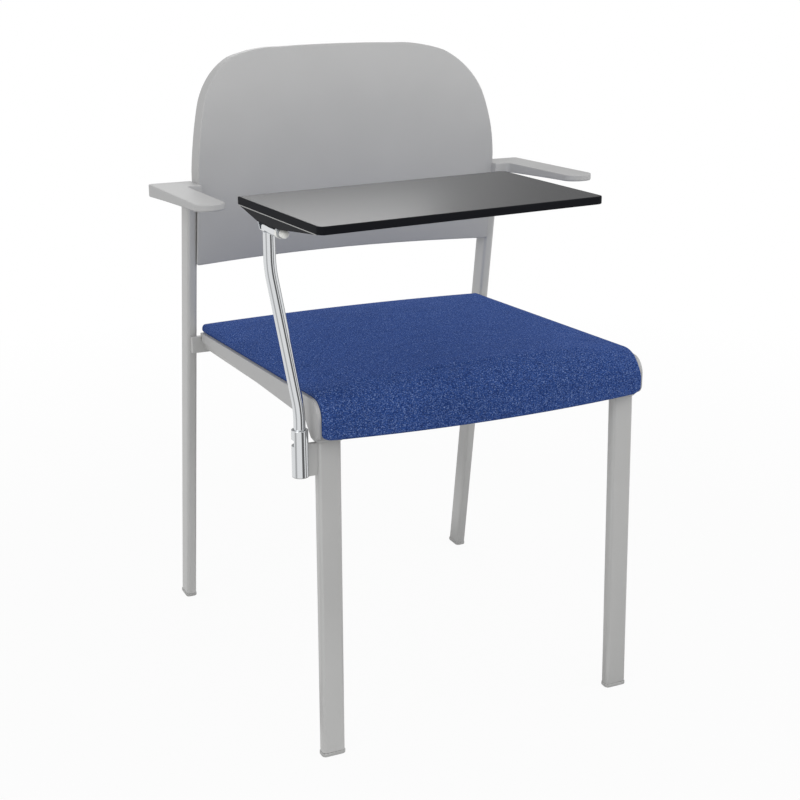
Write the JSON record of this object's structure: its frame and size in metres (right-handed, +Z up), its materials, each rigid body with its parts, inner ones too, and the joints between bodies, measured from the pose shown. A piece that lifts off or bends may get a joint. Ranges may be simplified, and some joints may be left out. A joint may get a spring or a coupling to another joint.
{
  "type": "tablet arm chair",
  "caption": "Four-legged chair with blue woven seat pad, grey moulded back and arms, and a black writing tablet that swivels and tilts on a chromed stem.",
  "frame": {"origin": "on the floor under the middle of the chair's overall box", "axes": "+Z up, the chair faces -Y, +X is to the right of a viewer who stands in front of it"},
  "size_m": [0.5777, 0.6886, 0.835],
  "materials": {
    "frame_silver": "satin silver powder coat",
    "grey_moulding": "fine-grained grey moulding",
    "blue_weave": "blue woven upholstery with light flecks",
    "bright_chrome": "polished",
    "black_board": "smooth black laminate",
    "black_moulding": "fine-grained black moulding",
    "white_nylon": "white nylon",
    "bright_screws": "zinc plated",
    "grey_glide": "grey nylon"
  },
  "bodies": {
    "chair": {"front_leg_left": "frame_silver", "front_leg_right": "frame_silver", "rear_leg_left": "frame_silver", "rear_leg_right": "frame_silver", "rail_bracket_left": "frame_silver", "rail_bracket_right": "frame_silver", "front_cross_tube": "frame_silver", "rear_cross_tube": "frame_silver", "front_glides": "grey_glide", "rear_glides": "grey_glide", "seat_shell": "grey_moulding", "seat_mounts": "black_moulding", "seat_screws": "bright_screws", "seat_pad": "blue_weave", "backrest_shell": "grey_moulding", "back_screws": "bright_screws", "arm_left": "grey_moulding", "arm_right": "grey_moulding", "arm_screws": "bright_screws", "tablet_socket": "bright_chrome", "socket_plate": "frame_silver", "socket_plug": "black_moulding"},
    "tablet_arm": {"tablet_stem": "bright_chrome", "stem_foot": "white_nylon", "swivel_stop_pin": "bright_screws", "hinge_barrel": "bright_chrome"},
    "tablet": {"hinge_bracket": "bright_screws", "tilt_pin": "bright_screws", "pin_caps": "white_nylon", "hinge_washer": "white_nylon", "hinge_cover": "black_moulding", "board_screws": "bright_screws", "tablet_board": "black_board"}
  },
  "joints": [
    {"name": "tablet_swivel", "type": "hinge", "parent": "chair", "child": "tablet_arm", "pos_m": [-0.241, -0.19177, 0.4], "axis": [0, 0, 1], "range_deg": [-100, 82]},
    {"name": "tablet_tilt", "type": "hinge", "parent": "tablet_arm", "child": "tablet", "pos_m": [-0.27288, -0.1945, 0.676], "axis": [0.0854, -0.9963, 0], "range_deg": [0, 90]}
  ]
}
